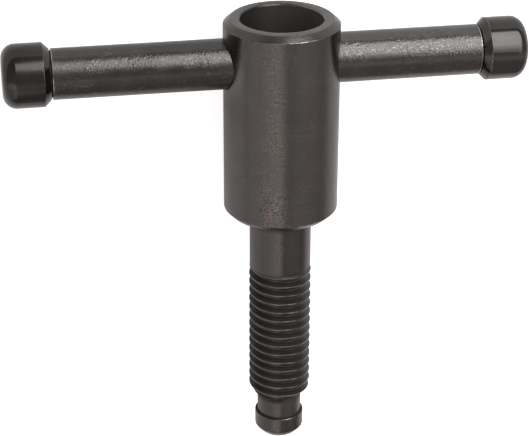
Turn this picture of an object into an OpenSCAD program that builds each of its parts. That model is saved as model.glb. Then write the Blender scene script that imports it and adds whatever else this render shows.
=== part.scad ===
// Tommy screw: a clamping screw with a hollow round head, a thrust point at its tip
// and a loose cross bar that slides through the head and is kept in by a cap at each end.
// It lies as it comes to rest on a flat surface: on the side of its head and on its left cap.
// Origin: on the screw's axis, at the underside of the head. The tip points along -Y.

/* [Head] */
// Diameter of the head
head_d = 18; // [16:0.1:26]
// Height of the head
head_h = 32; // [20:0.1:50]
// Chamfer round the top of the head
top_chamfer = 1; // [0.2:0.1:2]
// Chamfer on the lower edge of the head
foot_chamfer = 0.9; // [0.2:0.1:2]
// Diameter of the hollow in the head
bore_d = 12.8; // [9:0.1:13.4]
// Depth of the hollow
bore_depth = 13; // [4:0.1:18]
// Chamfer at the mouth of the hollow
bore_chamfer = 0.2; // [0.1:0.05:0.5]

/* [Bar] */
// Diameter of the cross bar
bar_d = 7.8; // [6:0.1:8.4]
// Length of the bar between the shoulders that its caps stop at
bar_len = 66; // [50:0.5:120]
// Depth of the bar's axis below the top of the head
bar_drop = 6.87; // [5.5:0.01:12]
// Play round the bar in its hole, on the radius
bar_clear = 0.1; // [0.05:0.01:0.3]
// How far the bar is slid to the left
bar_shift = 2.13; // [0.5:0.01:12]

/* [Caps] */
// Diameter of a cap
cap_d = 9.8; // [9:0.1:14]
// Length of a cap
cap_len = 7.2; // [6.2:0.1:12]
// Round on the outer end of a cap
cap_round = 2.1; // [0.5:0.1:3.5]
// Open line between a cap and the shoulder of the bar
cap_gap = 0.2; // [0.1:0.05:0.5]
// Diameter of the spigot that a cap is pressed on
spigot_d = 5; // [3:0.1:5.6]
// Length of the spigot
spigot_len = 4.8; // [3:0.1:5.2]
// Air left at the bottom of a cap's socket
socket_air = 0.3; // [0.1:0.1:0.6]

/* [Shank and thread] */
// How much thinner the plain shank is than the thread
shank_under = 0.18; // [0:0.01:0.6]
// Length of the plain shank
shank_len = 9.9; // [4:0.1:40]
// Outer diameter of the thread
thread_d = 10; // [9:0.1:12]
// Pitch of the thread
thread_pitch = 1.56; // [1:0.01:2]
// Length of the thread, with the chamfer at its end
thread_len = 23.65; // [10:0.05:60]

/* [Thrust point] */
// Diameter of the neck
neck_d = 7.2; // [6:0.01:7.6]
// Length of the neck
neck_len = 3.7; // [1:0.05:6]
// Diameter of the collar
collar_d = 8; // [7.7:0.1:8.6]
// Length of the collar's round side
collar_len = 2.55; // [1:0.05:6]
// Radius of the domed end
dome_r = 4.7; // [4.4:0.01:8]

/* [Hidden] */
$fn = 96;

head_r = head_d / 2;
bar_r = bar_d / 2;
cap_r = cap_d / 2;
thread_r = thread_d / 2;
shank_r = thread_r - shank_under / 2;
neck_r = neck_d / 2;
collar_r = collar_d / 2;

// Heights along the screw, from the underside of the head up
bar_z = head_h - bar_drop;
thread_z = -shank_len;
neck_z = thread_z - thread_len;
collar_z = neck_z - neck_len;
dome_z = collar_z - collar_len;
dome_centre_z = dome_z + sqrt(dome_r * dome_r - collar_r * collar_r);
tip_z = dome_centre_z - dome_r;

// A 60 degree thread: crest flats of an eighth and root flats of a quarter of the pitch
crest_w = thread_pitch / 8;
root_w = thread_pitch / 4;
flank_w = (thread_pitch - crest_w - root_w) / 2;
root_r = thread_r - flank_w / tan(30);
end_chamfer = thread_r - neck_r;
ridges = ceil(thread_len / thread_pitch);

// The socket of a cap takes the spigot and leaves a little air at its bottom
socket_len = spigot_len - cap_gap + socket_air;
reach = bar_len / 2 + cap_gap + cap_len;

// Roll about the screw's axis at which the left cap meets the surface under the head
cap_centre_out = reach + bar_shift - cap_round;
cap_centre_down = cap_r - cap_round;
cap_centre_high = head_r - cap_round;
rest_roll = asin(cap_centre_high / norm([cap_centre_out, cap_centre_down]))
    - atan2(cap_centre_down, cap_centre_out);

// How far a cutter runs past the face that it opens, and joined shapes into each other
cut = 1;
lap = 1;

// Lays the upright screw down, with its tip along -Y
module lying() {
    rotate([0, -rest_roll, 0]) rotate([-90, 0, 0]) children();
}

// Moves a thing drawn about the origin to the middle of the bar
module at_bar() {
    translate([-bar_shift, 0, bar_z]) children();
}

// Section of the head, on the right of its axis
module head_section() {
    difference() {
        square([head_r, head_h]);
        translate([head_r, head_h]) rotate(45) square(top_chamfer * sqrt(2), center = true);
        translate([head_r, 0]) rotate(45) square(foot_chamfer * sqrt(2), center = true);
    }
}

// Section of the thread, ridge by ridge: a flank out from the root, the crest flat, the flank
// back in and the root flat. It runs on past the neck, where the end chamfer cuts it off.
module ridge_section() {
    ridge = [
        [thread_r, -flank_w],
        [thread_r, -flank_w - crest_w],
        [root_r, -thread_pitch + root_w],
        [root_r, -thread_pitch]
    ];
    first_z = thread_z - (shank_r - root_r) * tan(30) - root_w;
    polygon(concat(
        [[0, thread_z + lap], [shank_r, thread_z + lap], [shank_r, thread_z]],
        [[root_r, first_z + root_w], [root_r, first_z]],
        [for (i = [0:ridges - 1]) for (p = ridge) [p[0], first_z - i * thread_pitch + p[1]]],
        [[0, first_z - ridges * thread_pitch]]
    ));
}

// Section of the shank, thread and neck. The shank runs into the head, and the neck into the collar.
module stem_section() {
    translate([0, thread_z]) square([shank_r, shank_len + lap]);
    intersection() {
        ridge_section();
        polygon([
            [0, thread_z + lap],
            [thread_r, thread_z + lap],
            [thread_r, neck_z + end_chamfer],
            [neck_r, neck_z],
            [0, neck_z]
        ]);
    }
    translate([0, dome_z]) square([neck_r, neck_z + lap - dome_z]);
}

// Collar with a domed end
module thrust_collar() {
    intersection() {
        translate([0, 0, tip_z]) cylinder(h = collar_z - tip_z, r = collar_r);
        union() {
            translate([0, 0, dome_centre_z]) sphere(dome_r);
            translate([0, 0, dome_z]) cylinder(h = collar_len, r = collar_r);
        }
    }
}

// The screw itself, turned in one piece
module screw_body() {
    color("#4c4846") lying() difference() {
        union() {
            rotate_extrude() {
                head_section();
                stem_section();
            }
            thrust_collar();
        }
        translate([0, 0, head_h - bore_depth]) cylinder(h = bore_depth + cut, d = bore_d);
        translate([0, 0, head_h - bore_chamfer])
            cylinder(h = bore_chamfer, r1 = bore_d / 2, r2 = bore_d / 2 + bore_chamfer);
        translate([0, 0, bar_z]) rotate([0, 90, 0])
            cylinder(h = head_d + 2 * cut, r = bar_r + bar_clear, center = true);
    }
}

// Loose cross bar, turned down at both ends to take the caps
module tommy_bar() {
    color("#5a5654") lying() at_bar() rotate([0, 90, 0]) union() {
        cylinder(h = bar_len, r = bar_r, center = true);
        cylinder(h = bar_len + 2 * spigot_len, d = spigot_d, center = true);
    }
}

// Section of a cap, from its inner face up to its rounded end
module cap_section() {
    inner_chamfer = cap_r - bar_r;
    difference() {
        union() {
            square([cap_r, cap_len - cap_round]);
            square([cap_r - cap_round, cap_len]);
            translate([cap_r - cap_round, cap_len - cap_round]) circle(cap_round);
        }
        polygon([[bar_r, 0], [cap_r + cut, -cut], [cap_r + cut, inner_chamfer + cut]]);
        translate([-cap_r, 0]) square([cap_r, cap_len]);
    }
}

// Cap on one end of the bar: side is -1 for the left and 1 for the right
module cap(side) {
    inner_face_x = side * (reach - cap_len);
    color("#403d3c") lying() at_bar() translate([inner_face_x, 0, 0]) rotate([0, side * 90, 0])
        difference() {
            rotate_extrude() cap_section();
            translate([0, 0, -cut]) cylinder(h = socket_len + cut, d = spigot_d);
        }
}

module left_cap() {
    cap(-1);
}

module right_cap() {
    cap(1);
}

screw_body();
tommy_bar();
left_cap();
right_cap();
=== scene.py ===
# %% [markdown]
# A tommy screw in blackened steel
#
# This lesson dresses a tommy screw: a clamping screw with a hollow round head, a thrust point
# at its tip, and a loose cross bar with a cap on each end. The solids come packed from the CAD
# source. Here each one gets a finer mesh with its real edges and thread, and a steel finish.

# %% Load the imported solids
import math

import bmesh
import bpy
import numpy as np
from mathutils import Matrix, Vector


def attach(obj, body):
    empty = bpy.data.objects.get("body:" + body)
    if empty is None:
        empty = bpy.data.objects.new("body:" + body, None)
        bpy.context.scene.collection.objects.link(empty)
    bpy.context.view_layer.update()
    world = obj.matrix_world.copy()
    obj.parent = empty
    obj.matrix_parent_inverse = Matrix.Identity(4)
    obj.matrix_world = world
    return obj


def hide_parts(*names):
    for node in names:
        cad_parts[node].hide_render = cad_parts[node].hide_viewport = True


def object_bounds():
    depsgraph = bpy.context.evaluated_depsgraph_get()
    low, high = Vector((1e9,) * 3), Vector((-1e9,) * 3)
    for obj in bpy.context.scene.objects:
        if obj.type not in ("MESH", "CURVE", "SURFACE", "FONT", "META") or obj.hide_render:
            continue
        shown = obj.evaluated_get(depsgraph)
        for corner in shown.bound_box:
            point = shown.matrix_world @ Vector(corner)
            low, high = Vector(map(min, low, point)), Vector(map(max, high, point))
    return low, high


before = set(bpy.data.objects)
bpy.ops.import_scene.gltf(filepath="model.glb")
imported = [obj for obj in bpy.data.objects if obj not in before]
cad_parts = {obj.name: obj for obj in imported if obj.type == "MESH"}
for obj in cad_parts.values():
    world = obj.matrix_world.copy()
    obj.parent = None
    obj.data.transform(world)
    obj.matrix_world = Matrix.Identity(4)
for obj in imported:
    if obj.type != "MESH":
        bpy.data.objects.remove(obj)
cad_low, cad_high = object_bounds()
print("solids", sorted(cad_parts), "box", [round(v, 4) for v in (*cad_low, *cad_high)])

# %% [markdown]
# The sizes of the real screw
#
# Blender works in metres, and the workshop in millimetres. Each length below is written in
# millimetres and turned into metres by one factor, so that it can be read off a drawing. The
# screw is drawn upright, with the underside of its head at zero and its top at head_h, and laid
# down at the end by one matrix.

# %% Sizes of the head
mm = 0.001
head_r = 9.0 * mm
head_h = 32.0 * mm
top_chamfer = 1.0 * mm
top_drop = 0.87 * mm
foot_chamfer = 0.9 * mm
bore_r = 6.4 * mm
bore_depth = 13.0 * mm
bore_chamfer = 0.2 * mm
print("head", 2 * head_r / mm, "x", head_h / mm, "mm, hollow", 2 * bore_r / mm, "mm")

# %% Sizes of the bar and its caps
bar_r = 3.9 * mm
bar_half = 33.0 * mm
bar_z = head_h - 6.87 * mm
bar_shift = 2.13 * mm
hole_r = bar_r + 0.04 * mm
cap_r = 4.9 * mm
cap_len = 7.2 * mm
cap_round = 2.1 * mm
cap_gap = 0.2 * mm
spigot_r = 2.5 * mm
spigot_len = 4.8 * mm
socket_len = spigot_len - cap_gap + 0.3 * mm
reach = bar_half + cap_gap + cap_len
print("bar", 2 * bar_r / mm, "mm, over its caps", round(2 * reach / mm, 2), "mm")

# %% Sizes of the stem
shank_r = 4.91 * mm
thread_r = 5.0 * mm
pitch = 1.56 * mm
neck_r = 3.6 * mm
collar_r = 4.0 * mm
dome_r = 4.7 * mm
thread_z = -9.9 * mm
neck_z = -33.55 * mm
collar_z = -37.25 * mm
dome_z = -39.8 * mm
print("thread", 2 * thread_r / mm, "x", pitch / mm, "mm,", round((thread_z - neck_z) / mm, 2), "mm long")

# %% [markdown]
# How the screw lies
#
# A screw can't stand on its point, so it lies on the side of its head, and the longer arm of
# the bar drops until its cap touches the surface too. The roll follows from those two contacts.
# The same matrix then lays every piece down.

# %% Matrix that lays the upright screw down
cap_out = reach + bar_shift - cap_round
cap_down = cap_r - cap_round
rest_roll = math.asin((head_r - cap_round) / math.hypot(cap_out, cap_down))
rest_roll -= math.atan2(cap_down, cap_out)
lying = Matrix.Rotation(-rest_roll, 4, "Y") @ Matrix.Rotation(-math.pi / 2, 4, "X")
print("roll on the surface", round(math.degrees(rest_roll), 3), "degrees")

# %% [markdown]
# The camera
#
# The photograph looks at the upright screw from a little above. The lying screw is seen at the
# same angles, so the camera stands over it, leaning towards the top of the head. The long lens
# and the distance come from how much the head narrows towards its foot.

# %% Directions as the camera sees them
view_turn = math.radians(16.379)
view_rise = math.radians(25.915)


def from_view(azimuth, elevation):
    """A direction from the screw: azimuth to the camera's right, elevation towards the head's top."""
    a, e = math.radians(azimuth), math.radians(elevation)
    side, along, over = math.cos(e) * math.sin(a), math.sin(e), math.cos(e) * math.cos(a)
    c, s = math.cos(view_turn), math.sin(view_turn)
    return Vector((side * c - over * s, along, side * s + over * c))


back = from_view(0, math.degrees(view_rise))
right = from_view(90, 0)
up = back.cross(right)
print("camera direction", [round(v, 3) for v in back])

# %% Camera
image_w = 529
sensor_width = 36
focal_pixels = 1760.7
view_distance = 281.05 * mm
aim = Vector((0, -1.0 * mm, 0))
small_pan, small_tilt, small_roll = (math.radians(a) for a in (-0.517, -0.138, 0.454))
look = math.cos(small_pan) * -back + math.sin(small_pan) * right
look = math.cos(small_tilt) * look + math.sin(small_tilt) * up
across = look.cross(up).normalized()
upright = across.cross(look)
across = math.cos(small_roll) * across + math.sin(small_roll) * upright
upright = across.cross(look)

camera_data = bpy.data.cameras.new("camera")
camera_data.sensor_width = sensor_width
camera_data.lens = focal_pixels / image_w * sensor_width
camera = bpy.data.objects.new("camera", camera_data)
facing = Matrix((across, upright, -look)).transposed().to_4x4()
camera.matrix_world = Matrix.Translation(aim + view_distance * back) @ facing
bpy.context.scene.collection.objects.link(camera)
bpy.context.scene.camera = camera
camera_place = [round(v, 4) for v in camera.matrix_world.translation]
print("camera at", camera_place, "lens", round(camera_data.lens, 1))

# %% [markdown]
# Helpers for nodes
#
# The floor, the world and the finishes are all node trees. These helpers keep their code short.
# Each value that they take may be a plain number or colour, or a socket of another node, which
# is then linked.


# %% Helpers for nodes
def new_nodes(owner):
    """An empty node tree for a material or the world."""
    owner.use_nodes = True
    owner.node_tree.nodes.clear()
    return owner.node_tree


def feed(tree, socket, value):
    """Links a socket to another one, or sets its value."""
    if isinstance(value, bpy.types.NodeSocket):
        tree.links.new(value, socket)
    else:
        socket.default_value = value


def place(tree, kind, **settings):
    """Adds a node and sets its properties, or feeds its sockets by name."""
    node = tree.nodes.new(kind)
    for name, value in settings.items():
        if hasattr(node, name):
            setattr(node, name, value)
        else:
            feed(tree, node.inputs[name.replace("_", " ")], value)
    return node


def math_node(tree, operation, *values):
    """A Math node on one, two or three values."""
    node = place(tree, "ShaderNodeMath", operation=operation)
    for socket, value in zip(node.inputs, values):
        feed(tree, socket, value)
    return node.outputs[0]


print("helpers", [f.__name__ for f in (new_nodes, feed, place, math_node)])

# %% [markdown]
# The floor
#
# The screw is shown on white. A white floor that is lit only by the lamps comes out grey, and
# more lamps would wash out the steel. So the floor adds a glow of its own for the camera, and a
# faint one for mirror rays. The light that falls on it still carries the soft shadow.

# %% Floor
floor_half = 3.0
floor_z = cad_low.z
floor_corners = [(-1, -1), (1, -1), (1, 1), (-1, 1)]
floor_mesh = bpy.data.meshes.new("floor")
floor_mesh.from_pydata(
    [(x * floor_half, y * floor_half, floor_z) for x, y in floor_corners], [], [(0, 1, 2, 3)]
)
floor = bpy.data.objects.new("floor", floor_mesh)
bpy.context.scene.collection.objects.link(floor)
print("floor at", round(floor_z / mm, 3), "mm")

# %% White paper for the floor
paper_grey = (0.8, 0.8, 0.8, 1)
camera_glow = 0.74
mirror_glow = 0.06
paper = bpy.data.materials.new("white_paper")
tree = new_nodes(paper)
rays = place(tree, "ShaderNodeLightPath")
mirrored = math_node(tree, "MULTIPLY", rays.outputs["Is Glossy Ray"], mirror_glow)
level = math_node(tree, "MULTIPLY_ADD", rays.outputs["Is Camera Ray"], camera_glow, mirrored)
matte = place(tree, "ShaderNodeBsdfDiffuse", Color=paper_grey)
glow = place(tree, "ShaderNodeEmission", Color=(1, 1, 1, 1), Strength=level)
both = place(tree, "ShaderNodeAddShader")
for socket, shader in zip(both.inputs, (matte, glow)):
    feed(tree, socket, shader.outputs[0])
place(tree, "ShaderNodeOutputMaterial", Surface=both.outputs[0])
floor_mesh.materials.append(paper)
print("paper", len(tree.nodes), "nodes")

# %% [markdown]
# The light all round
#
# Dark metal shows its surroundings, so a world of one grey would leave it flat. Two colour ramps
# draw a plain studio instead. The first runs along the screw, from beyond its tip to beyond its
# head, and has a pale stretch where a white table would be. The second runs round the screw from
# left to right, and makes the right side a little lighter up to its far edge.

# %% World
world_strength = 2.0
low_tint = Vector((1, 0.86, 0.83))
high_tint = Vector((1, 0.96, 0.94))
along_greys = [
    (0, 0.4), (0.15, 0.42), (0.25, 0.44), (0.29, 0.66), (0.33, 0.82), (0.37, 0.76),
    (0.46, 0.48), (0.6, 0.48), (0.8, 0.4), (0.9, 0.44), (1, 0.43),
]
round_greys = [(0, 0.5), (0.25, 0.5), (0.5, 0.6), (0.95, 0.6), (1, 0.46)]


def set_stops(ramp, stops):
    """Sets the stops of a colour ramp. The first is at 0 and the last at 1."""
    elements = ramp.color_ramp.elements
    for position, colour in stops:
        stop = elements[-int(position)] if position in (0, 1) else elements.new(position)
        stop.color = (*colour, 1)


world = bpy.data.worlds.new("studio")
bpy.context.scene.world = world
tree = new_nodes(world)
way = place(tree, "ShaderNodeTexCoord").outputs["Generated"]
split = place(tree, "ShaderNodeSeparateXYZ", Vector=way)
along = math_node(tree, "MULTIPLY_ADD", split.outputs["Y"], 0.5, 0.5)
along_ramp = place(tree, "ShaderNodeValToRGB", Fac=along)
set_stops(along_ramp, [(s, grey * low_tint.lerp(high_tint, min(1, 2 * s))) for s, grey in along_greys])
level_way = place(tree, "ShaderNodeVectorMath", operation="MULTIPLY", Vector=way)
level_way.inputs[1].default_value = (1, 0, 1)
unit_way = place(tree, "ShaderNodeVectorMath", operation="NORMALIZE", Vector=level_way.outputs["Vector"])
to_right = place(tree, "ShaderNodeVectorMath", operation="DOT_PRODUCT", Vector=unit_way.outputs["Vector"])
to_right.inputs[1].default_value = right
round_ramp = place(tree, "ShaderNodeValToRGB", Fac=to_right.outputs["Value"])
set_stops(round_ramp, [(s, (grey, grey, grey)) for s, grey in round_greys])
strength = math_node(tree, "MULTIPLY", round_ramp.outputs["Color"], world_strength)
sky = place(tree, "ShaderNodeBackground", Color=along_ramp.outputs["Color"], Strength=strength)
place(tree, "ShaderNodeOutputWorld", Surface=sky.outputs[0])
bpy.context.scene.view_settings.view_transform = "Standard"
print("world", len(along_greys), "stops along,", len(round_greys), "round")

# %% [markdown]
# Soft boxes
#
# Steel shows its lamps, so their shape matters more than their power. The key light is three
# ovals right of the camera that share their top edge, so the band on the bar starts sharp and
# fades out downwards. The fill light is four ovals on the left that share their right edge: the
# streak down the head is crisp on its right and soft on its left. Each oval is placed by the
# direction it is seen in from the screw, and its power follows from how bright its face should be.

# %% Lamps
lamp_distance = 1.2


def soft_box(name, azimuth, elevation, half_wide, half_tall, brightness, colour):
    """An oval area lamp that faces the screw. Its half sizes are angles, as seen from there."""
    lamp = bpy.data.lights.new(name, "AREA")
    lamp.shape = "ELLIPSE"
    lamp.color = colour
    lamp.size = 2 * lamp_distance * math.tan(math.radians(half_wide))
    lamp.size_y = 2 * lamp_distance * math.tan(math.radians(half_tall))
    lamp.energy = math.pi * lamp.size * lamp.size_y * brightness
    outward = from_view(azimuth, elevation)
    level_x = Vector((0, 1, 0)).cross(outward).normalized()
    level_y = outward.cross(level_x)
    turn = Matrix((level_x, level_y, outward)).transposed().to_4x4()
    holder = bpy.data.objects.new(name, lamp)
    holder.matrix_world = Matrix.Translation(outward * lamp_distance) @ turn
    bpy.context.scene.collection.objects.link(holder)


print("lamps stand", lamp_distance, "m from the screw")

# %% Key and fill light
key_azimuth, key_top, key_half_wide, key_brightness = 43.5, 73, 25, 0.95
key_colour = (1, 1, 0.985)
key_half_talls = (25, 31, 38)
for number, half_tall in enumerate(key_half_talls):
    soft_box(f"key_box_{number}", key_azimuth, key_top - half_tall, key_half_wide, half_tall,
             key_brightness, key_colour)
fill_right, fill_elevation, fill_half_tall = 5, -34, 31
fill_ovals = ((8, 0.1), (13, 0.12), (20, 0.14), (36, 0.3))
warm, pale_warm = Vector((1, 0.8, 0.77)), Vector((1, 0.95, 0.93))
for number, (half_wide, brightness) in enumerate(fill_ovals):
    warmth = warm.lerp(pale_warm, number / (len(fill_ovals) - 1))
    soft_box(f"fill_box_{number}", fill_right - half_wide, fill_elevation, half_wide, fill_half_tall,
             brightness, warmth)

# %% [markdown]
# Node groups for the steel
#
# All three finishes are the same blackened steel, worked in different ways. What they share is
# built once as node groups: the mottled colour of the black oxide with its painted sparkle and
# painted light, the relief of rings and grain, and the wear with its painted glints and the film
# of painted shade. Each material places the groups and sets its own values.


# %% Helpers for node groups
def new_group(name, inputs, outputs):
    """A shader node group with named sockets. Returns the group and its two end nodes."""
    group = bpy.data.node_groups.new(name, "ShaderNodeTree")
    for label, value in inputs.items():
        kind = "NodeSocketColor" if isinstance(value, tuple) else "NodeSocketFloat"
        group.interface.new_socket(label, in_out="INPUT", socket_type=kind).default_value = value
    for label in outputs:
        kind = "NodeSocketColor" if label == "Color" else "NodeSocketFloat"
        group.interface.new_socket(label, in_out="OUTPUT", socket_type=kind)
    return group, group.nodes.new("NodeGroupInput").outputs, group.nodes.new("NodeGroupOutput").inputs


def stretched(tree, across_scale, along_scale):
    """Object coordinates, scaled apart across and along the turning axis."""
    where = place(tree, "ShaderNodeTexCoord").outputs["Object"]
    scale = (across_scale, across_scale, along_scale)
    return place(tree, "ShaderNodeMapping", Vector=where, Scale=scale).outputs["Vector"]


def noise_node(tree, vector, scale, detail=2.0, rough=0.5):
    """Noise from about 0.3 to 0.7 on a vector. The scale is per unit of that vector."""
    node = place(tree, "ShaderNodeTexNoise", Vector=vector, Scale=scale, Detail=detail, Roughness=rough)
    return node.outputs["Fac"]


def remap(tree, value, low, high, to_low=0.0, to_high=1.0):
    """A clamped Map Range from one span to another."""
    spans = {"From_Min": low, "From_Max": high, "To_Min": to_low, "To_Max": to_high}
    return place(tree, "ShaderNodeMapRange", Value=value, **spans).outputs["Result"]


def mix_colour(tree, amount, first, second):
    """A Mix node on two colours."""
    node = place(tree, "ShaderNodeMix", data_type="RGBA")
    for number, value in ((0, amount), (6, first), (7, second)):
        feed(tree, node.inputs[number], value)
    return node.outputs[2]


print("group helpers", [f.__name__ for f in (new_group, stretched, noise_node, remap, mix_colour)])

# %% [markdown]
# Black oxide
#
# Black oxide is a thin layer, so its colour isn't even. There are soft clouds a few millimetres
# wide, faint brown streaks where oil has run along the part, dark specks, and bright flecks that
# are painted sparkle, standing in for glints in the highlights. Three noises at those sizes give
# them. Two marks that the meshes carry steer them. The first says where the specks, the brown
# and the painted sparkle come out, and lies most where the highlights fall. The second is painted
# light and shade: it makes the colour lighter or darker where the lamps light a part more or less.
# Dark specks are also a little rougher.

# %% Group: black oxide
oxide, given, made = new_group(
    "black_oxide",
    {
        "Tone": (0.09, 0.083, 0.078, 1), "Brown": (0.13, 0.085, 0.075, 1), "Brown Amount": 0.4,
        "Cloud": 0.25, "Speck": 0.4, "Glint Fleck": 0.3, "Specks And Sparkle": 0.0, "Painted Light": 0.0, "Roughness": 0.35,
    },
    ["Color", "Roughness"],
)
clouds_per_m, streaks_per_m, specks_per_m = 260, 900, 4200
brown_where_specked, cloud_rough, speck_rough = 4.0, 0.04, 0.25
# Bright flecks are painted sparkle: light colour that stands in for glints in the highlights.
painted_glint_fleck = (0.3, 0.295, 0.285, 1)
dark_speck = (0.02, 0.018, 0.017, 1)
plain = stretched(oxide, 1, 1)
cloud = noise_node(oxide, plain, clouds_per_m, 3)
streak = noise_node(oxide, stretched(oxide, 1, 0.12), streaks_per_m, 3, 0.6)
speck = noise_node(oxide, plain, specks_per_m, 3, 0.6)
specks_and_sparkle_level = math_node(oxide, "MULTIPLY", given["Specks And Sparkle"], remap(oxide, cloud, 0.35, 0.65, 0.4, 1.5))
more_brown = math_node(oxide, "MULTIPLY_ADD", specks_and_sparkle_level, brown_where_specked, 1.0)
brown_amount = math_node(oxide, "MULTIPLY", given["Brown Amount"], more_brown)
brown = math_node(oxide, "MULTIPLY", remap(oxide, streak, 0.52, 0.72), brown_amount)
dark_amount = math_node(oxide, "ADD", given["Speck"], specks_and_sparkle_level)
dark = math_node(oxide, "MULTIPLY", remap(oxide, speck, 0.54, 0.68), dark_amount)
bright_amount = math_node(oxide, "ADD", given["Glint Fleck"], specks_and_sparkle_level)
bright = math_node(oxide, "MULTIPLY", remap(oxide, speck, 0.46, 0.32), bright_amount)
toned = mix_colour(oxide, brown, given["Tone"], given["Brown"])
flecked = mix_colour(oxide, bright, toned, painted_glint_fleck)
specked = mix_colour(oxide, dark, flecked, dark_speck)
cloud_level = remap(oxide, cloud, 0.3, 0.7, -1, 1)
shade = math_node(oxide, "MULTIPLY_ADD", cloud_level, given["Cloud"], 1.0)
# This mark is painted light and shade: it makes the colour lighter or darker.
shade = math_node(oxide, "ADD", shade, given["Painted Light"])
shaded = place(oxide, "ShaderNodeVectorMath", operation="SCALE", Vector=specked, Scale=shade)
feed(oxide, made["Color"], shaded.outputs["Vector"])
rough = math_node(oxide, "MULTIPLY_ADD", cloud_level, cloud_rough, given["Roughness"])
feed(oxide, made["Roughness"], math_node(oxide, "MULTIPLY_ADD", dark, speck_rough, rough))
print("group", oxide.name, len(oxide.nodes), "nodes")

# %% [markdown]
# Turning rings and grain
#
# A lathe tool leaves rings that run round the part. One-dimensional noise along the axis gives
# rings of uneven depth. Under them lies the fine pitted grain of the steel, which shows most on
# a drawn bar, in some patches more than in others. One group adds both up to a height, and a Bump
# node turns that into normals. The grain is one plain octave of noise: finer octaves would be
# smaller than a pixel, and only blur the shine.

# %% Group: relief of rings and grain
relief, given, made = new_group(
    "steel_relief",
    {"Rings per mm": 6.0, "Ring Depth": 1.0, "Grain per mm": 5.0, "Grain Depth": 0.5, "Pits": 0.5},
    ["Height"],
)
coarse_rings, pit_share, patches_per_mm = 0.23, 0.45, 0.16
per_mm = stretched(relief, 1 / mm, 1 / mm)
along = place(relief, "ShaderNodeSeparateXYZ", Vector=per_mm).outputs["Z"]
fine_w = math_node(relief, "MULTIPLY", along, given["Rings per mm"])
coarse_w = math_node(relief, "MULTIPLY", fine_w, coarse_rings)
rings = [
    place(relief, "ShaderNodeTexNoise", noise_dimensions="1D", W=w, Scale=1.0, Detail=2.0).outputs["Fac"]
    for w in (fine_w, coarse_w)
]
ring_height = math_node(relief, "MULTIPLY", math_node(relief, "ADD", *rings), given["Ring Depth"])
grain = noise_node(relief, per_mm, given["Grain per mm"], 0)
pit_scale = math_node(relief, "MULTIPLY", given["Grain per mm"], pit_share)
pit = remap(relief, noise_node(relief, per_mm, pit_scale, 2, 0.6), 0.58, 0.72)
pitted = math_node(relief, "SUBTRACT", grain, math_node(relief, "MULTIPLY", pit, given["Pits"]))
patch = remap(relief, noise_node(relief, per_mm, patches_per_mm, 2), 0.42, 0.58, 0.15, 1.0)
grain_depth = math_node(relief, "MULTIPLY", patch, given["Grain Depth"])
feed(relief, made["Height"], math_node(relief, "MULTIPLY_ADD", pitted, grain_depth, ring_height))
print("group", relief.name, len(relief.nodes), "nodes")

# %% [markdown]
# Wear, painted glints and painted shade
#
# Handling rubs the oxide off along edges, where bare steel shows as a thin broken line, and
# sliding leaves short scratches along a part. The same light line is also a painted glint: it is
# laid on edges and crests where the lamps catch them. A dull brown-black film is painted shade:
# it darkens grooves, the hollow, corners and gaps where shade falls, and stands in part for old
# oil. The meshes carry both as marks, one for wear and glints and one for film and shade. The
# group breaks the wear up with noise, so that no line is even, draws the scratches from noise
# that is stretched along the axis, and hides the metal under the film.

# %% Group: wear, painted glints and painted shade
wear, given, made = new_group(
    "wear_glint_and_shade",
    {
        "Color": (0.09, 0.08, 0.08, 1), "Roughness": 0.3, "Bare And Glint": (0.58, 0.575, 0.56, 1),
        "Wear And Glint": 0.0, "Grime And Shade": 0.0, "Amount": 0.5, "Scratches": 0.1,
    },
    ["Color", "Roughness", "Metallic"],
)
# The film's dark colour is painted shade, in part old oil.
film_and_shade_colour = (0.0165, 0.0132, 0.0123, 1)
film_rough = 0.35
breaks_per_m, scratches_per_m, clusters_per_m = 900, 4400, 300
patchy = noise_node(wear, stretched(wear, 1, 1), breaks_per_m, 4, 0.65)
broken = math_node(wear, "MULTIPLY", remap(wear, patchy, 0.4, 0.62), given["Amount"])
rubbed_and_glint = math_node(wear, "MULTIPLY", given["Wear And Glint"], broken)
line = remap(wear, noise_node(wear, stretched(wear, 1, 0.2), scratches_per_m, 0), 0.66, 0.76)
some = remap(wear, noise_node(wear, stretched(wear, 1, 0.5), clusters_per_m, 2), 0.42, 0.58)
scratched = math_node(wear, "MULTIPLY", math_node(wear, "MULTIPLY", line, some), given["Scratches"])
# The light colour of bare steel also stands in for painted glints on edges and crests.
bare_and_glint_colour = mix_colour(wear, math_node(wear, "MAXIMUM", rubbed_and_glint, scratched), given["Color"], given["Bare And Glint"])
feed(wear, made["Color"], mix_colour(wear, given["Grime And Shade"], bare_and_glint_colour, film_and_shade_colour))
rough = math_node(wear, "MULTIPLY_ADD", given["Grime And Shade"], film_rough, given["Roughness"])
feed(wear, made["Roughness"], rough)
feed(wear, made["Metallic"], math_node(wear, "SUBTRACT", 1.0, given["Grime And Shade"]))
print("group", wear.name, len(wear.nodes), "nodes")

# %% [markdown]
# Three finishes
#
# The screw is turned, so its shine is drawn out along the axis: the Principled shader's
# anisotropy does that, with a tangent that runs round the axis. The bar is drawn stock with a
# grain and scratches. The caps are turned smooth, and reflect the soft boxes with crisp edges.

# %% One blackened steel
marks = ("wear_and_glint", "grime_and_shade", "specks_and_sparkle", "painted_light")
bump_distance = 0.04 * mm


def use_group(tree, group, values):
    """Places a node group with its own values."""
    node = tree.nodes.new("ShaderNodeGroup")
    node.node_tree = group
    for label, value in values.items():
        feed(tree, node.inputs[label], value)
    return node


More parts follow.
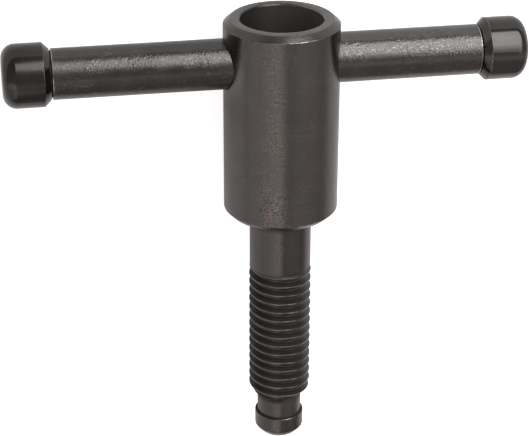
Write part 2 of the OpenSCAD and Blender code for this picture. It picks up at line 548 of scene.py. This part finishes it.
def blackened_steel(name, oxide_values, relief_values, wear_values, bump=1.0, anisotropy=0.0):
    """Oxide with its painted sparkle and painted light, relief, and wear with its painted glints and the
    film of painted shade, on one Principled shader.
    """
    material = bpy.data.materials.new(name)
    tree = new_nodes(material)
    wear_and_glint, grime_and_shade, specks_and_sparkle, painted_light = (
        place(tree, "ShaderNodeAttribute", attribute_name=mark).outputs["Fac"] for mark in marks
    )
    skin = use_group(tree, oxide, {**oxide_values, "Specks And Sparkle": specks_and_sparkle, "Painted Light": painted_light})
    used = use_group(tree, wear, {**wear_values, "Wear And Glint": wear_and_glint, "Grime And Shade": grime_and_shade})
    for label in ("Color", "Roughness"):
        feed(tree, used.inputs[label], skin.outputs[label])
    height = use_group(tree, relief, relief_values).outputs["Height"]
    bumped = place(tree, "ShaderNodeBump", Strength=bump, Distance=bump_distance, Height=height)
    shader = place(
        tree, "ShaderNodeBsdfPrincipled", Base_Color=used.outputs["Color"], Normal=bumped.outputs[0],
        Roughness=used.outputs["Roughness"], Metallic=used.outputs["Metallic"],
        Specular_IOR_Level=0.07, Anisotropic=anisotropy, Anisotropic_Rotation=0.25,
    )
    if anisotropy:
        round_axis = place(tree, "ShaderNodeTangent", direction_type="RADIAL", axis="Z")
        feed(tree, shader.inputs["Tangent"], round_axis.outputs[0])
    place(tree, "ShaderNodeOutputMaterial", Surface=shader.outputs[0])
    return material


print("marks on the meshes", marks)

# %% Materials
turned_steel = blackened_steel(
    "turned_black_steel",
    {"Tone": (0.086, 0.082, 0.08, 1), "Brown Amount": 0.2, "Cloud": 0.06, "Speck": 0.03, "Glint Fleck": 0.02,
     "Roughness": 0.25},
    {"Rings per mm": 7.0, "Ring Depth": 0.35, "Grain per mm": 3.2, "Grain Depth": 0.45, "Pits": 0.4},
    {"Amount": 0.6, "Scratches": 0.03},
    anisotropy=0.5,
)
drawn_steel = blackened_steel(
    "drawn_black_steel",
    {"Tone": (0.071, 0.070, 0.068, 1), "Brown Amount": 0.05, "Cloud": 0.1, "Speck": 0.1, "Glint Fleck": 0.08,
     "Roughness": 0.23},
    {"Ring Depth": 0.0, "Grain per mm": 3.2, "Grain Depth": 1.0, "Pits": 0.0},
    {"Amount": 0.9, "Scratches": 0.1},
)
smooth_steel = blackened_steel(
    "smooth_black_steel",
    {"Tone": (0.059, 0.058, 0.057, 1), "Brown Amount": 0.1, "Cloud": 0.1, "Speck": 0.08, "Glint Fleck": 0.0,
     "Roughness": 0.15},
    {"Rings per mm": 5.0, "Ring Depth": 1.0, "Grain Depth": 0.3, "Pits": 0.2},
    {"Amount": 0.9, "Scratches": 0.02},
    bump=0.06,
)
print("finishes", [m.name for m in (turned_steel, drawn_steel, smooth_steel)])

# %% [markdown]
# Turned shapes
#
# Almost every face here is turned: a section swept round an axis. A Screw modifier could do it,
# but it can't leave a window for the cross hole. So a section becomes a grid of points, rows
# along the section and columns round the axis, and grids that share an edge are welded later.
# No real edge is sharp: each corner of a section is eased by a short curve.

# %% Sections and their sweep
columns = 192
round_angles = 2 * math.pi * np.arange(columns) / columns


def at(r, z, ease=0.0, wear_and_glint=0.0, grime_and_shade=0.0):
    """A corner of a section: radius, height, how far it is eased, and its marks."""
    return r, z, ease, wear_and_glint, grime_and_shade


def eased(corners, steps=4):
    """Rows of a section (radius, height and marks), with its corners eased."""
    rows = []
    for i, (r, z, ease, wear_and_glint, grime_and_shade) in enumerate(corners):
        corner = Vector((r, z))
        if not ease:
            rows.append((r, z, wear_and_glint, grime_and_shade))
            continue
        before = (Vector(corners[i - 1][:2]) - corner).normalized()
        after = (Vector(corners[i + 1][:2]) - corner).normalized()
        cut = ease / math.tan(before.angle(after) / 2)
        for k in range(steps + 1):
            t = k / steps
            p = corner + cut * ((1 - t) ** 2 * before + t * t * after)
            rows.append((p.x, p.y, wear_and_glint * 4 * t * (1 - t), grime_and_shade))
    return rows


def turned(section):
    """A grid of points and their marks: a section swept round the axis."""
    r, z, *row_marks = (np.array(v)[:, None] for v in zip(*section))
    one = np.ones((len(section), columns))
    shape = [r * np.cos(round_angles), r * np.sin(round_angles), z * one]
    return np.stack(shape + [m * one for m in row_marks], axis=-1)


square_corner = [at(1, 0), at(1, 1, 0.1), at(0, 1)]
print("a swept square corner", turned(eased(square_corner)).shape, "rows, columns, values")

# %% [markdown]
# From grids to a piece
#
# The grids of a piece are collected, welded where they meet, and given smooth shading that stays
# crisp at true edges. The marks go on the points as attributes, where the materials read them.
# Wear, sparkle and painted light and shade differ from part to part, so each piece brings a function for
# them.


# %% Collecting grids
class Patches:
    """Collects grids of points, and the faces between them."""

    def __init__(self):
        self.points, self.faces, self.count = [], [], 0

    def add(self, grid, keep=None, shift=0):
        """Adds a grid. Its last column joins its first, shift rows further on."""
        rows, cols = grid.shape[:2]
        self.points.append(grid.reshape(-1, grid.shape[-1]))
        for i in range(rows - 1):
            for j in range(cols):
                if keep is not None and not keep[i, j]:
                    continue
                turn = shift if j == cols - 1 else 0
                k = (j + 1) % cols
                low, high = min(i + turn, rows - 1), min(i + 1 + turn, rows - 1)
                quad = (i * cols + j, low * cols + k, high * cols + k, (i + 1) * cols + j)
                self.faces.append(tuple(v + self.count for v in quad))
        self.count += rows * cols


trial = Patches()
trial.add(turned(eased(square_corner)))
print("the swept corner has", len(trial.faces), "faces")


# %% A mesh with its marks
def marked_mesh(patches, name, point_marks):
    """One mesh of all grids. A function of the piece gives each point its wear and glints, its specks and
    sparkle, and its painted light and shade.
    """
    table = np.concatenate(patches.points)
    angle = np.degrees(np.arctan2(table[:, 1], table[:, 0]))
    radius = np.hypot(table[:, 0], table[:, 1])
    more_wear_and_glint, specks_and_sparkle, painted_light = point_marks(angle, table[:, 2] / mm, radius / mm)
    table[:, 3] *= more_wear_and_glint
    table = np.column_stack([table, specks_and_sparkle, painted_light])
    mesh = bpy.data.meshes.new(name)
    mesh.from_pydata(table[:, :3].tolist(), [], patches.faces)
    for column, label in enumerate(marks, 3):
        layer = mesh.attributes.new(label, "FLOAT", "POINT")
        layer.data.foreach_set("value", table[:, column].astype(np.float32))
    return mesh


print("each point carries", len(marks), "marks")

# %% A welded, smooth piece
weld_distance = 0.002 * mm
least_edge = 0.001 * mm
sharp_from = math.radians(38)
flat_face_weight = 60


def build(patches, name, material, matrix, point_marks):
    """Welds the grids, smooths the mesh and sets the piece in its place."""
    mesh = marked_mesh(patches, name, point_marks)
    work = bmesh.new()
    work.from_mesh(mesh)
    bmesh.ops.remove_doubles(work, verts=work.verts, dist=weld_distance)
    bmesh.ops.dissolve_degenerate(work, edges=work.edges, dist=least_edge)
    bmesh.ops.recalc_face_normals(work, faces=work.faces)
    open_edges = sum(1 for e in work.edges if len(e.link_faces) != 2)
    work.to_mesh(mesh)
    work.free()
    mesh.polygons.foreach_set("use_smooth", [True] * len(mesh.polygons))
    mesh.set_sharp_from_angle(angle=sharp_from)
    mesh.materials.append(material)
    piece = bpy.data.objects.new(name, mesh)
    piece.matrix_world = matrix
    bpy.context.scene.collection.objects.link(piece)
    even = piece.modifiers.new("even_normals", "WEIGHTED_NORMAL")
    even.keep_sharp = True
    even.weight = flat_face_weight
    print(name, len(mesh.polygons), "faces,", open_edges, "open edges")
    return piece


print("edges stay sharp from", round(math.degrees(sharp_from)), "degrees")

# %% [markdown]
# The cross hole
#
# The bar's hole crosses the head and opens into the hollow, and its rim is only just broken. A
# Boolean and a Bevel could cut it, but they leave slivers that spoil the shine. So the walls of
# the head and the hollow leave a window for it, and rings of points fill the window. The rim's
# round is what a ball leaves that rolls along the corner: the ball's centre keeps its distance
# from the head's side and from the hole's wall, and each arc runs between the two places where
# it touches.

# %% Walls with a window
window_cols, window_rows = 25, 30


def side_wall(radius, low, high, window_half, rows_low, rows_high, grime_and_shade=0.0):
    """A cylinder wall, and which of its faces to keep so that two windows stay open."""
    heights = np.concatenate([
        np.linspace(low, bar_z - window_half, rows_low, endpoint=False),
        np.linspace(bar_z - window_half, bar_z + window_half, window_rows, endpoint=False),
        np.linspace(bar_z + window_half, high, rows_high + 1),
    ])
    keep = np.ones((len(heights) - 1, columns), bool)
    for middle in (0, columns // 2):
        span = np.arange(middle - window_cols, middle + window_cols) % columns
        keep[rows_low:rows_low + window_rows, span] = False
    return turned([(radius, z, 0.0, grime_and_shade) for z in heights]), keep


def window_edge(window_half):
    """Angle and height of the points round a window, in order."""
    half_angle = window_cols * 2 * math.pi / columns
    wide = np.linspace(-half_angle, half_angle, 2 * window_cols, endpoint=False)
    tall = np.linspace(-window_half, window_half, window_rows, endpoint=False)
    one_wide, one_tall = np.ones(2 * window_cols), np.ones(window_rows)
    angle = np.concatenate([wide, half_angle * one_tall, -wide, -half_angle * one_tall])
    height = np.concatenate([-window_half * one_wide, tall, window_half * one_wide, -tall])
    return angle, height


print("points round a window", len(window_edge(1.0)[0]))

# %% The rings that fill a window
rim_round = 0.12 * mm
side_rings, rim_rings, wall_rings, hollow_rings = 6, 10, 6, 5


def between(first, last, radius, steps):
    """Rings on a cylinder about the screw's axis, from one closed line to another."""
    share = np.linspace(0, 1, steps + 1)[:, None]
    angle, height = (a + share * (b - a) for a, b in zip(first, last))
    return np.stack([radius * np.cos(angle), radius * np.sin(angle), bar_z + height], axis=-1)


def cross_hole(outer_half, inner_half):
    """The grids of one end of the hole, from the head's side to the hollow's wall."""
    outer_edge = window_edge(outer_half)
    turn = np.arctan2(outer_edge[1], head_r * outer_edge[0])
    ball_r, spine_r = hole_r + rim_round, head_r - rim_round
    side, height = ball_r * np.cos(turn), ball_r * np.sin(turn)
    out = np.sqrt(spine_r ** 2 - side ** 2)
    centre = np.stack([out, side, height + bar_z], axis=-1)
    to_head = np.stack([out / spine_r, side / spine_r, 0 * out], axis=-1)
    to_hole = np.stack([0 * out, -np.cos(turn), -np.sin(turn)], axis=-1)
    angle = np.arccos(np.clip((to_head * to_hole).sum(-1), -1, 1))[:, None]
    arc = []
    for t in np.linspace(0, 1, rim_rings + 1):
        way = (np.sin((1 - t) * angle) * to_head + np.sin(t * angle) * to_hole) / np.sin(angle)
        arc.append(centre + rim_round * way)
    side_patch = between(outer_edge, (np.arctan2(side, out), height), head_r, side_rings)
    wall_side, wall_height = hole_r * np.cos(turn), hole_r * np.sin(turn)
    inner_out = np.sqrt(bore_r ** 2 - wall_side ** 2)
    inner_line = np.stack([inner_out, wall_side, wall_height + bar_z], axis=-1)
    share = np.linspace(0, 1, wall_rings + 1)[:, None, None]
    wall = arc[-1] + share * (inner_line - arc[-1])
    inner_start = (np.arctan2(wall_side, inner_out), wall_height)
    hollow_patch = between(inner_start, window_edge(inner_half), bore_r, hollow_rings)
    return [side_patch, np.array(arc), wall, hollow_patch]


def with_marks(grid, wear_and_glint=0.0, grime_and_shade=0.0):
    """Adds the marks to a grid of bare points."""
    extra = np.broadcast_to(np.array([wear_and_glint, grime_and_shade]), (*grid.shape[:2], 2))
    return np.concatenate([grid, extra], axis=-1)


print("hole", round(2 * hole_r / mm, 2), "mm, rim rounded by", rim_round / mm, "mm")

# %% [markdown]
# The thread
#
# The thread is a helix, so each column of points sits a little lower than the one before it, and
# the last column meets the first one pitch further on. The grid follows the crests, which keeps
# their edges clean. It falls to the right across the front. At the shank the groove runs out
# over two thirds of a turn. At the neck a chamfer cuts the ridge off, and its edge drops over
# the last part of a turn and ends in a small step. A dark film of painted shade, in part old oil,
# fills the flanks and is thinner on the crests, the roots and the two sides, and the worn crests
# carry painted glints.

# %% Thread section
groove = 0.844 * mm
ridge = [
    (-0.5, 1.0), (-0.42, 1.0), (-0.375, 0.94), (-0.33, 0.82), (-0.2, 0.4), (-0.12, 0.15),
    (-0.095, 0.07), (-0.07, 0.015), (-0.045, 0.0), (0.045, 0.0), (0.07, 0.015), (0.095, 0.07),
    (0.12, 0.15), (0.2, 0.4), (0.33, 0.82), (0.375, 0.94), (0.42, 1.0),
]
runout_top = thread_z + 0.4 * mm
runout_full = thread_z - 0.65 * mm
front_angle = math.radians(-100.54)
front_crest = -11.80 * mm
end_angle = math.radians(-89.5)
end_drop = 0.53 * mm
thread_end = neck_z - end_drop
print("thread depth", groove / mm, "mm,", len(ridge), "points to a pitch")

# %% Thread grid
# A film of painted shade, in part old oil, on the flanks and down the neck.
shade_film_above, shade_film_below, neck_shade_film = 0.85, 0.95, 0.6
# The crests' wear carries painted glints; less film on the roots and the sides paints them lighter.
side_less_shade, root_less_shade, crest_wear_and_glint = 0.5, 0.55, 0.28
flank_depths, root_depths, crest_depths = (0.0167, 0.1), (0.8, 1.0), (0.0667, 0.0)
side_angles, last_part = (0.85, 1.25), (0.6, 1.0)
neck_shade_reach = 0.15 * mm
spare_turns, turns_above = 5, 2.5


def rise(value, start, end):
    """0 up to the start, 1 from the end on, and straight in between."""
    return np.clip((value - start) / (end - start), 0, 1)


def thread_grid():
    """Points of the thread between shank and neck: worn crests that carry painted glints, and a film of
    painted shade on the flanks.
    """
    turns = math.ceil((runout_top - thread_end) / pitch) + spare_turns
    places = np.array([k + p for k in range(turns) for p, _ in ridge])[:, None]
    depth = np.array([d for _ in range(turns) for _, d in ridge])[:, None]
    above_crest = places % 1 >= 0.5
    shade_film = np.where(above_crest, shade_film_above, shade_film_below)
    first = front_crest - pitch * (round_angles - front_angle) / (2 * math.pi)
    first = first + pitch * math.ceil((runout_top - first.max()) / pitch + turns_above)
    z = np.clip(first - pitch * places, thread_end, runout_top)
    t = rise(z, runout_top, runout_full)
    formed = t * t * (3 - 2 * t)
    last_turn = (round_angles - end_angle) % (2 * math.pi) / (2 * math.pi)
    end_z = neck_z - end_drop * rise(last_turn, *last_part)
    r = shank_r + formed * (thread_r - groove * depth - shank_r)
    r = np.minimum(r, neck_r + np.maximum(0, z - end_z))
    from_front = np.abs((round_angles - front_angle + math.pi) % (2 * math.pi) - math.pi)
    shade_film = shade_film * (1 - side_less_shade * rise(from_front, *side_angles))
    grime_and_shade = formed * (shade_film * rise(depth, *flank_depths) - root_less_shade * rise(depth, *root_depths))
    wear_and_glint = crest_wear_and_glint * formed * rise(depth, *crest_depths)
    on_neck = rise(z - end_z, neck_shade_reach, 0)
    grime_and_shade = np.maximum(0, grime_and_shade) * (1 - on_neck) + neck_shade_film * on_neck
    wear_and_glint = wear_and_glint * (1 - on_neck)
    return np.stack([r * np.cos(round_angles), r * np.sin(round_angles), z, wear_and_glint, grime_and_shade], axis=-1)


print("thread grid", thread_grid().shape, "rows, columns, values")

# %% [markdown]
# The head
#
# The screw is one turned piece: the hollow head, the plain shank, the thread, the neck and the
# collar with its domed end. Its grids follow one another from the floor of the hollow, over the
# rim and down to the tip, and are welded into one closed mesh. The head comes first, from the
# hollow to the chamfer at its foot. The hollow carries a dark film of painted shade, and the
# chamfers' edges are worn, which also paints their glints.

# %% Grids of the head
screw = Patches()
edge = 0.13 * mm
# The hollow's dark film is painted shade.
hollow_shade_film = 0.6
bore_floor = head_h - bore_depth
wall_low, wall_high = bore_floor + 2 * mm, head_h - 1.2 * mm
side_low, side_high = foot_chamfer + edge, head_h - top_drop - edge
outer_half, inner_half = 5.65 * mm, 4.7 * mm
screw.add(turned(eased([
    at(0, bore_floor, grime_and_shade=hollow_shade_film),
    at(bore_r, bore_floor, 0.4 * mm, grime_and_shade=hollow_shade_film),
    at(bore_r, wall_low, grime_and_shade=hollow_shade_film),
])))
hollow_wall, hollow_keep = side_wall(
    bore_r, wall_low, wall_high, inner_half, rows_low=2, rows_high=2, grime_and_shade=hollow_shade_film
)
screw.add(hollow_wall, keep=hollow_keep)
screw.add(turned(eased([
    at(bore_r, wall_high, grime_and_shade=hollow_shade_film),
    at(bore_r, head_h - 2 * bore_chamfer, grime_and_shade=hollow_shade_film),
    at(bore_r, head_h - bore_chamfer, 0.06 * mm, wear_and_glint=0.2),
    at(bore_r + bore_chamfer, head_h, 0.06 * mm, wear_and_glint=0.3),
    # The worn edges of the top chamfer also carry its painted glint.
    at(head_r - top_chamfer, head_h, 0.1 * mm, wear_and_glint=0.6),
    at(head_r, head_h - top_drop, 0.12 * mm, wear_and_glint=1.0),
    at(head_r, side_high),
])))
head_wall, head_keep = side_wall(head_r, side_low, side_high, outer_half, rows_low=20, rows_high=2)
screw.add(head_wall, keep=head_keep)
for grid, shade_film in zip(cross_hole(outer_half, inner_half), (0.0, 0.0, 0.0, hollow_shade_film)):
    screw.add(with_marks(grid, grime_and_shade=shade_film))
    screw.add(with_marks(grid * np.array([-1, -1, 1]), grime_and_shade=shade_film))
print("head", len(screw.points), "grids,", len(screw.faces), "faces")

# %% [markdown]
# The stem
#
# Below the head come the shank, the thread and the thrust point. A dark film of painted shade lies
# under the head, down the neck at the end of the thread and in the corner of the collar, where
# shade falls. The domed end is an arc of points that follows the collar's side.

# %% Grids of the stem
screw.add(turned(eased([
    at(head_r, side_low),
    # The worn foot chamfer also carries painted glints along its edges.
    at(head_r, foot_chamfer, 0.1 * mm, wear_and_glint=1.3),
    at(head_r - foot_chamfer, 0, 0.05 * mm, wear_and_glint=1.0),
    at(shank_r, 0, 0.25 * mm),
    # Painted shade on the shank just under the head.
    at(shank_r, -1 * mm, grime_and_shade=0.4),
    at(shank_r, -1.7 * mm, grime_and_shade=0.35),
    at(shank_r, -2.3 * mm),
    at(shank_r, runout_top),
])))
screw.add(thread_grid(), shift=len(ridge))
dome_rows = 24
dome_middle = dome_z + math.sqrt(dome_r ** 2 - collar_r ** 2)
dome_angles = np.linspace(math.asin(collar_r / dome_r), 0, dome_rows + 1)[1:]
screw.add(turned(eased([
    # Painted shade down the neck and in the corner of the collar.
    at(neck_r, thread_end, grime_and_shade=neck_shade_film),
    at(neck_r, thread_end - 0.1 * mm, grime_and_shade=0.45),
    at(neck_r, neck_z - 1.1 * mm, grime_and_shade=0.15),
    at(neck_r, collar_z + 0.35 * mm, grime_and_shade=0.1),
    at(neck_r, collar_z, 0.15 * mm, grime_and_shade=0.9),
    # The worn top edge of the collar is a painted glint.
    at(collar_r, collar_z, 0.12 * mm, wear_and_glint=0.3),
    at(collar_r, collar_z - 0.3 * mm),
    at(collar_r, dome_z + 0.3 * mm),
    at(collar_r, dome_z, 0.4 * mm),
] + [
    at(dome_r * math.sin(a), dome_middle - dome_r * math.cos(a)) for a in dome_angles
])))
print("screw", len(screw.points), "grids,", len(screw.faces), "faces")

# %% [markdown]
# Wear, sparkle and painted light on the screw
#
# The wear is strongest a little right of the screw's front, where it also paints glints on the
# crests and edges. A strip left of that is brown and speckled, most at the foot of the head, and
# its bright flecks are painted sparkle on the head's highlight streak. Painted light and shade do
# the rest: the head is lighter round the cross hole, where the bar shades it, and the chamfers,
# the hollow, the stem and the thread are painted lighter and darker in places. Angles go round the
# axis in degrees, and heights and radii are in millimetres.
#
# An area is a range of heights and a range of radii. A strip is a stretch along the screw that
# fades out to both sides: it has its area, the angle of its middle, its width, and how much it
# adds to the wear or to the painted light there.

# %% Areas and strips of the screw
areas = {
    "screw": (-50, 40, -1, 10), "hollow": (18, 40, -1, 6.5), "rim": (31.7, 40, -1, 6.7),
    "top": (31, 40, 7.9, 10), "foot": (-0.05, 0.85, 8, 10), "side": (1, 31, 8.9, 10),
    "thread": (-33.4, -10, -1, 10),
}
# The front wear strip also paints glints on the crests and edges, and the thread strip takes some of
# those painted glints away again.
wear_and_glint_strips = [("screw", -80, 20, 1.4), ("screw", 95, 40, 0.8), ("thread", -78, 14, -0.8)]
# Painted light and shade: glints on the top chamfer and the thread, a highlight on the foot chamfer, and
# darker stretches on the rim, the top chamfer and the thread.
painted_light_strips = [
    ("rim", 100, 35, -0.45), ("top", -104, 6, 0.3), ("top", -135, 25, -0.2), ("top", -82, 9, -0.2),
    ("foot", -100, 18, 1.0), ("thread", -85, 22, -0.45), ("thread", -110, 9, 0.3),
]


def inside(area, height, radius):
    """Which points lie in an area."""
    low, high, inner, outer = areas[area]
    return (height > low) & (height < high) & (radius > inner) & (radius < outer)


def strip(angle, middle, width):
    """1 along the middle of a strip, falling off smoothly to either side of it."""
    return np.exp(-((angle - middle) / width) ** 2)


def all_strips(strips, angle, height, radius):
    """What some strips add up to, each in its own area."""
    return sum(
        amount * inside(area, height, radius) * strip(angle, middle, width)
        for area, middle, width, amount in strips
    )


print(len(areas), "areas,", len(wear_and_glint_strips), "worn strips,", len(painted_light_strips), "pale or dark ones")

# %% Wear, sparkle and painted light of the screw
# The brown, speckled strip lies where the head's highlight streak runs, and its bright flecks there are
# painted sparkle.
brown_strip = (-108, 13)
speck_heights = [-42, -37, -33, -10, -9.5, -3, -1, 0, 6, 9, 32]
speck_amounts = [0.2, 0.35, 0.08, 0.08, 0.2, 0.25, 0.1, 0.9, 0.75, 0.33, 0.24]
stem_heights = [-41, -38, -37, -10, -9.5, 0, 0.3]
# Painted shade: the stem is darker, most at the dome and on its right half.
stem_darker = [-0.18, -0.1, 0, 0, -0.1, -0.1, 0]
right_half_start, right_half_end = (-104, -92), 40
side_edge, thread_edge, hole_reach = (0.75, 0.9), (0.7, 0.9), (6.2, 4.4)
# Painted light: lighter round the cross hole where the bar shades the head, lighter on the right of the
# hollow and darker on its left, a painted highlight on the foot chamfer, the head's right edge darker and
# the thread's right edge lighter.
least_wear_and_glint, hole_painted_light, hollow_painted_light, foot_painted_highlight = 0.4, 0.7, 0.6, 0.25
stem_right_shade, hollow_right_painted_light, side_right_shade, thread_right_painted_light = 1.2, 1.15, -0.13, 0.3


def screw_wear_sparkle_and_light(angle, height, radius):
    """Wear and glints, specks and sparkle, and painted light and shade on the screw."""
    more_wear_and_glint = least_wear_and_glint + all_strips(wear_and_glint_strips, angle, height, radius)
    specks_and_sparkle = strip(angle, *brown_strip) * np.interp(height, speck_heights, speck_amounts)
    to_right = np.cos(np.radians(angle) - front_angle - math.pi / 2)
    right_half = rise(angle, *right_half_start) * (angle < right_half_end)
    from_hole = np.hypot(radius * np.sin(np.radians(angle)), height - bar_z / mm)
    painted_light = np.interp(height, stem_heights, stem_darker) * (1 + stem_right_shade * right_half)
    painted_light += hole_painted_light * rise(from_hole, *hole_reach)
    painted_light += inside("hollow", height, radius) * (hollow_painted_light + hollow_right_painted_light * to_right)
    painted_light += foot_painted_highlight * inside("foot", height, radius)
    painted_light += side_right_shade * inside("side", height, radius) * rise(to_right, *side_edge)
    painted_light += thread_right_painted_light * inside("thread", height, radius) * rise(to_right, *thread_edge)
    painted_light += all_strips(painted_light_strips, angle, height, radius)
    return more_wear_and_glint, specks_and_sparkle, painted_light


screw_piece = build(screw, "screw", turned_steel, lying, screw_wear_sparkle_and_light)
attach(screw_piece, "screw")
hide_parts("screw_body")

# %% [markdown]
# The bar
#
# The bar is drawn stock, turned down at both ends to a spigot, and each cap is pressed on its
# spigot up to a hair from the bar's shoulder. A dark ring of painted shade fills the bottom of
# that gap, and is drawn with the bar. The bar is drawn along its own axis, so that the scratches of
# its finish follow it, and then set across the head. Along its front it is specked, with bright
# flecks of painted sparkle where its highlight lies, and painted light makes its right arm and
# its top lighter.

# %% Section of the bar
# A dark ring of painted shade sits at the bottom of the gap under each cap, where shade falls.
shade_ring_r = 3.55 * mm
arm = 9 * mm
# The worn shoulder edges are also painted highlights: the bright lines at the ends of the bar.
left_shoulder_wear_and_glint, right_shoulder_wear_and_glint = 2.0, 5.0
spigot_end = bar_half + spigot_len
gap_end = bar_half + cap_gap


def bar_end(side, shoulder_wear_and_glint):
    """Corners of one end of the bar, from its middle out."""
    return [
        at(bar_r, side * arm),
        at(bar_r, side * bar_half, 0.16 * mm, wear_and_glint=shoulder_wear_and_glint),
        # Painted shade: the dark ring at the bottom of the gap.
        at(shade_ring_r, side * bar_half, grime_and_shade=1.0),
        at(shade_ring_r, side * gap_end, grime_and_shade=1.0),
        at(spigot_r, side * gap_end, grime_and_shade=1.0),
        at(spigot_r, side * spigot_end, 0.3 * mm),
        at(0, side * spigot_end),
    ]


bar_section = bar_end(-1, left_shoulder_wear_and_glint)[::-1] + bar_end(1, right_shoulder_wear_and_glint)
print("bar section", len(bar_section), "corners")

# %% Bar
# The specks and their painted sparkle lie along the bar's highlight band.
bar_strip = (-123, 18)
bar_specks, bar_specks_per_mm = 0.23, 0.003
# Painted light: the bar is lighter towards its right arm and on its top.
bar_painted_light, right_arm_painted_light, top_painted_light, top_right_painted_light = 0.04, 0.09, 0.23, 0.12
top_edge = (0.75, 0.9)


def bar_sparkle_and_light(angle, height, radius):
    """Specks and sparkle, and painted light and shade on the bar. Its wear is even."""
    specks_and_sparkle = (bar_specks + bar_specks_per_mm * height) * strip(angle, *bar_strip)
    to_right = np.clip(height * mm / arm, -1, 1)
    on_top = rise(-np.cos(np.radians(angle)), *top_edge)
    painted_light = bar_painted_light + right_arm_painted_light * to_right + (top_painted_light + top_right_painted_light * to_right) * on_top
    return np.ones(len(angle)), specks_and_sparkle, painted_light


cross = lying @ Matrix.Translation((-bar_shift, 0, bar_z))
bar = Patches()
bar.add(turned(eased(bar_section)))
along_bar = Matrix.Rotation(math.pi / 2, 4, "Y")
bar_piece = build(bar, "cross_bar", drawn_steel, cross @ along_bar, bar_sparkle_and_light)
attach(bar_piece, "bar")
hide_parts("tommy_bar")

# %% [markdown]
# The caps
#
# A cap is turned smooth, with a chamfer towards the bar, a rounded outer end and a socket for the
# spigot. Both come from one section, turned about the bar's axis to face outwards. Painted light
# and shade make the right cap a shade lighter and the left one darker, with the left cap's chamfer
# lighter again, and the edge of the right cap's chamfer is more worn.

# %% Caps
chamfer_top = 0.97
end_rows = 16
round_end = [
    at(cap_r - cap_round * (1 - math.cos(a)), cap_len - cap_round * (1 - math.sin(a)))
    for a in np.linspace(0, math.pi / 2, end_rows + 1)[1:]
]


def cap_light_and_shade(painted_light, chamfer_painted_light):
    """A cap has even wear and no specks. Two numbers give the painted light and shade on it and on its
    chamfer.
    """
    def point_marks(angle, height, radius):
        one = np.ones(len(angle))
        return one, 0 * one, painted_light + chamfer_painted_light * (height < chamfer_top)

    return point_marks


# Painted light and shade: the right cap lighter, the left one darker, and the left cap's chamfer lighter
# again.
cap_wear_and_painted_light = ((-1, "left", 0.2, -0.2, 0.3), (1, "right", 0.8, 0.08, 0.0))
for side, label, edge_wear, painted_light, chamfer_painted_light in cap_wear_and_painted_light:
    cap = Patches()
    cap.add(turned(eased([
        at(0, socket_len),
        at(spigot_r, socket_len, 0.1 * mm),
        at(spigot_r, 0, 0.1 * mm),
        at(bar_r, 0, 0.06 * mm, wear_and_glint=1.0),
        at(cap_r, cap_r - bar_r, 0.12 * mm, wear_and_glint=edge_wear),
        at(cap_r, cap_len - cap_round),
    ] + round_end + [at(0, cap_len)])))
    seat = Matrix.Translation((side * gap_end, 0, 0)) @ Matrix.Rotation(side * math.pi / 2, 4, "Y")
    point_marks = cap_light_and_shade(painted_light, chamfer_painted_light)
    cap_piece = build(cap, f"{label}_end_cap", smooth_steel, cross @ seat, point_marks)
    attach(cap_piece, "bar")
    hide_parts(f"{label}_cap")
